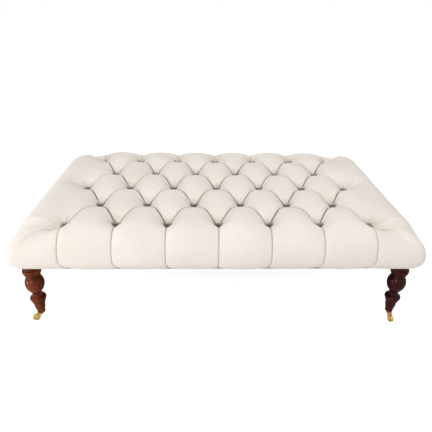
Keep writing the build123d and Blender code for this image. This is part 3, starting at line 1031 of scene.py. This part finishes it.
def buttoning(finish, base, height):
    """Linen's colour and height with the buttoning's bumps, painted shade and welt laid over
    them.
    """
    dx, dy, _ = finish.parts(finish.own_map("button_offset"))
    radius = (dx * dx + dy * dy) ** 0.5
    angle = dy.math("ARCTAN2", dy, dx)
    wander = finish.noise(38, 1) * 9
    many, few = TUCK_COUNTS
    tucks = (angle * many + wander).sine() + (angle * few - wander).sine() * 0.6
    near = radius.smooth(*TUCK_START) * (1 - radius.smooth(*TUCK_END))
    near = near * ((dy / radius).smooth(-0.4, 0.5) * 0.8 + 0.2)
    height = height + tucks * near * 0.9
    # Painted shade in the tucks round each button, stronger on the +Y side
    base = (tucks.smooth(0.2, 1.3) * near * 0.5).blend(base, TUCK_SHADE_COLOUR)
    distance, crease_shade, _ = finish.parts(finish.own_map("crease"))
    # Painted shade drawn as a dark line along each crease and pleat
    crease_shade_mask = (1 - distance.smooth(*CREASE_SHADE_BAND)) * crease_shade
    base = (crease_shade_mask * 0.75).blend(base, CREASE_SHADE_COLOUR)
    x, y, z = finish.parts(finish.place)
    low, high = WELT_BAND
    welt = 1 - z.smooth(HEM + low, HEM + high)
    stitches = ((x + y) * STITCH_TURNS).sine().smooth(-0.6, 0.6)
    base = (welt * (stitches * 0.5 + 0.4)).blend(base, WELT_COLOUR)
    # Painted shade in the funnel round each button
    funnel_shade = 1 - radius.smooth(*FUNNEL_SHADE_BAND)
    base = (funnel_shade * 0.9).blend(base, FUNNEL_SHADE_COLOUR)
    return base, height


# Plan reach over which the legs' colour goes from a painted lit amber on the left to a painted
# shaded dark red on the right
PAINTED_LIGHT_BAND = (-0.3, 0.3)


def mahogany(name):
    """French-polished mahogany: fine grain along the leg, with painted light: lit amber at the
    left, shaded dark red at the right.
    """
    finish = Finish(name, Coat_Weight=0.22, Coat_Roughness=0.06, Specular_IOR_Level=0.04)
    figure = finish.noise(34, 4, (1, 1, 0.16))
    pores = finish.noise(420, 2, (1, 1, 0.06))
    grain = (figure * 0.75 + pores * 0.25).smooth(0.36, 0.64)
    # Painted light: legs at the left get a lit amber copy of the wood, legs at the right a
    # shaded dark red copy
    side = finish.parts(finish.place)[0].smooth(*PAINTED_LIGHT_BAND)
    lit_amber = grain.blend(colour(52, 13, 4), colour(122, 54, 14))
    red = grain.blend(colour(18, 2, 1), colour(62, 11, 6))
    rough = pores * 0.12 + 0.24
    return finish.paint(side.blend(lit_amber, red), rough, pores, distance=0.0002, strength=0.3)


def brass(name, polish=0.22):
    """Lacquered brass with faint turning marks and dull patches."""
    finish = Finish(name, Metallic=1.0)
    patches = finish.noise(160, 3)
    marks = finish.noise(900, 1, (1, 1, 4))
    base = patches.smooth(0.45, 0.75).blend(colour(226, 194, 120), colour(126, 96, 44))
    rough = patches * 0.2 + marks * 0.06 + polish - 0.08
    return finish.paint(base, rough, marks, distance=0.0001, strength=0.3)


def steel(name):
    """Zinc-plated steel: cool grey with a cloudy spangle."""
    finish = Finish(name, Metallic=1.0)
    spangle = finish.noise(240, 2)
    base = spangle.smooth(0.3, 0.7).blend(colour(150, 152, 155), colour(196, 198, 200))
    return finish.paint(base, spangle * 0.2 + 0.3, spangle, distance=0.0001, strength=0.2)


def timber(name, dark, light, stretch):
    """Sawn timber with rings drawn out along one axis."""
    finish = Finish(name, Specular_IOR_Level=0.3)
    rings = finish.noise(28, 4, stretch)
    fibre = finish.noise(600, 2, stretch)
    base = (rings * 0.7 + fibre * 0.3).smooth(0.35, 0.65).blend(dark, light)
    return finish.paint(base, fibre * 0.2 + 0.6, fibre, distance=0.0003, strength=0.4)


def woven(name, dark, light, thread, sheen=0.1):
    """Plain woven cloth of one thread width, such as webbing, felt cover or dust cloth."""
    finish = Finish(name, Sheen_Weight=sheen, Specular_IOR_Level=0.2)
    x, y, _ = finish.parts(finish.place)
    turn = 2 * math.pi / thread
    weave = (x * turn).sine() * (y * turn).sine()
    fuzz = finish.noise(260, 3)
    base = (weave * 0.25 + fuzz).smooth(0.3, 0.75).blend(dark, light)
    return finish.paint(base, fuzz * 0.15 + 0.78, weave + fuzz, distance=0.0004, strength=0.5)


LINEN = linen("oatmeal_linen", buttoned=True)
BUTTON_LINEN = linen("button_linen")
MAHOGANY = mahogany("polished_mahogany")
CASTOR_BRASS = brass("castor_brass")
WHEEL_BRASS = brass("wheel_brass", polish=0.3)
STEEL = steel("plated_steel")
FRAME_WOOD = timber("frame_timber", colour(170, 132, 88), colour(206, 172, 124), (0.1, 1, 1))
BLOCK_WOOD = timber("block_timber", colour(160, 122, 80), colour(198, 160, 112), (1, 1, 0.1))
JUTE = woven("jute_webbing", colour(118, 88, 52), colour(172, 138, 90), 0.0032)
FELT = woven("pad_felt", colour(120, 118, 112), colour(168, 164, 156), 0.0015, 0.3)
DUST_CLOTH = woven("black_dust_cloth", colour(18, 18, 19), colour(40, 39, 40), 0.0009)
HEM_TAPE = woven("hem_tape", colour(186, 160, 118), colour(224, 208, 176), 0.0016)
TWINE = woven("button_twine", colour(196, 184, 158), colour(224, 214, 190), 0.0008)

NODE_FINISHES = {
    "base_pad": FELT,
    "cross_webbing": JUTE,
    "long_webbing": JUTE,
    "front_rail": FRAME_WOOD,
    "back_rail": FRAME_WOOD,
    "left_rail": FRAME_WOOD,
    "right_rail": FRAME_WOOD,
    "cross_rails": FRAME_WOOD,
    "corner_blocks": BLOCK_WOOD,
    "tee_nuts": STEEL,
    "leg_bolts": STEEL,
    "twine_toggles": BLOCK_WOOD,
    "button_twines": TWINE,
    "hem_strip": HEM_TAPE,
    "dust_cover": DUST_CLOTH,
}


def finish_nodes():
    """Give each frame node that stays its own finish."""
    for node, material in NODE_FINISHES.items():
        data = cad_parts[node].data
        data.materials.clear()
        data.materials.append(material)


def stand_for(piece, nodes, body):
    """The piece takes the place of its frame nodes on their body."""
    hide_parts(*nodes)
    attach(piece, body)


def make_object():
    """All the pieces in place of, or beside, their frame nodes."""
    finish_nodes()
    cushion = make_cushion(LINEN)
    add_button_offsets(cushion)
    stand_for(cushion, ["tufted_top"], "root")
    stand_for(make_buttons(BUTTON_LINEN), ["tuft_buttons"], "root")
    stand_for(make_legs(MAHOGANY), ["legs"], "root")
    stand_for(make_sockets(CASTOR_BRASS), ["castor_sockets"], "root")
    corners = ("front_left", "front_right", "back_left", "back_right")
    for corner, place in zip(corners, LEGS):
        heading = castor_heading(corner, place)
        spot = Matrix.Translation((*place, 0)) @ Matrix.Rotation(heading, 4, "Z")
        fork = make_fork(f"fork_{corner}", spot, CASTOR_BRASS)
        stand_for(fork, [f"castor_fork_{corner}"], f"swivel_{corner}")
        axle = make_axle(f"axle_{corner}", spot, STEEL)
        stand_for(axle, [f"castor_axle_{corner}"], f"swivel_{corner}")
        wheel = make_wheel(f"wheel_{corner}", spot, WHEEL_BRASS)
        stand_for(wheel, [f"castor_wheel_{corner}"], f"wheel_{corner}")


# Stage: white floor and soft light from above and the front
WORLD_LIGHT = 0.55
FLOOR_GLOW = 0.78
FLOOR_TONE = 0.88
FLOOR_HALF = 12.0

# Lamps: name, position, aim, size and power in watts
LAMPS = [
    ("soft_top", (0.4, -0.6, 3.2), (0, 0, 0.3), 2.6, 36),
    ("soft_front", (-1.6, -3.4, 1.9), (0, 0, 0.3), 2.0, 43),
    ("low_glint", (-2.4, -1.1, 0.30), (-0.6, -0.4, 0.15), 0.5, 13),
]

# Camera, fitted to the photograph: place, angles in degrees, and focal length in pixels
CAMERA_PLACE = (-0.0486, -1.6099, 1.1111)
CAMERA_PITCH = 28.14
CAMERA_YAW = -1.77
CAMERA_ROLL = 0.98
FOCAL_PIXELS = 405.0
FRAME_PIXELS = 432.0
SENSOR_WIDTH = 36.0


def make_floor():
    """Wide plain floor that shows white to the camera and keeps the table's shadow."""
    data = bpy.data.meshes.new("floor")
    signs = [(-1, -1), (1, -1), (1, 1), (-1, 1)]
    corners = [(x * FLOOR_HALF, y * FLOOR_HALF, 0) for x, y in signs]
    data.from_pydata(corners, [], [(0, 1, 2, 3)])
    floor = bpy.data.objects.new("floor", data)
    bpy.context.scene.collection.objects.link(floor)
    finish = Finish("white_floor", Roughness=0.9, Specular_IOR_Level=0.0)
    finish.shader.inputs["Base Color"].default_value = grey(FLOOR_TONE)
    finish.shader.inputs["Emission Strength"].default_value = 1.0
    seen = finish.start.node("LightPath", output="Is Camera Ray")
    glow = seen.blend(BLACK, grey(FLOOR_GLOW))
    finish.tree.links.new(glow.socket, finish.shader.inputs["Emission Color"])
    data.materials.append(finish.material)


def make_world():
    """Even white surroundings, dimmer as light than as seen, mirrored or looked through."""
    world = bpy.data.worlds.new("white_room")
    bpy.context.scene.world = world
    world.use_nodes = True
    tree = world.node_tree
    ray = Value(tree, None).node("LightPath", output="Is Camera Ray")
    seen = ray.math("MAXIMUM", ray, ray.beside("Is Glossy Ray"))
    seen = seen.math("MAXIMUM", seen, ray.beside("Is Transmission Ray"))
    tone = seen.blend(grey(WORLD_LIGHT), WHITE)
    tree.links.new(tone.socket, tree.nodes["Background"].inputs["Color"])


def make_lamp(name, position, aim, size, power):
    """Square soft lamp aimed at a point."""
    data = bpy.data.lights.new(name, "AREA")
    data.size = size
    data.energy = power
    lamp = bpy.data.objects.new(name, data)
    bpy.context.scene.collection.objects.link(lamp)
    lamp.location = position
    lamp.rotation_euler = (Vector(aim) - Vector(position)).to_track_quat("-Z", "Y").to_euler()


def make_camera():
    """Camera at the photograph's view: high, in front and slightly left of the middle."""
    data = bpy.data.cameras.new("camera")
    data.sensor_width = SENSOR_WIDTH
    data.lens = FOCAL_PIXELS / FRAME_PIXELS * SENSOR_WIDTH
    camera = bpy.data.objects.new("camera", data)
    bpy.context.scene.collection.objects.link(camera)
    pitch, yaw, roll = map(math.radians, (CAMERA_PITCH, CAMERA_YAW, CAMERA_ROLL))
    turn = Matrix.Rotation(yaw, 3, "Z") @ Matrix.Rotation(math.pi / 2 - pitch, 3, "X")
    camera.location = CAMERA_PLACE
    camera.rotation_euler = (turn @ Matrix.Rotation(roll, 3, "Z")).to_euler()
    bpy.context.scene.camera = camera


make_object()
make_floor()
make_world()
for lamp in LAMPS:
    make_lamp(*lamp)
make_camera()
bpy.context.scene.view_settings.view_transform = "Standard"
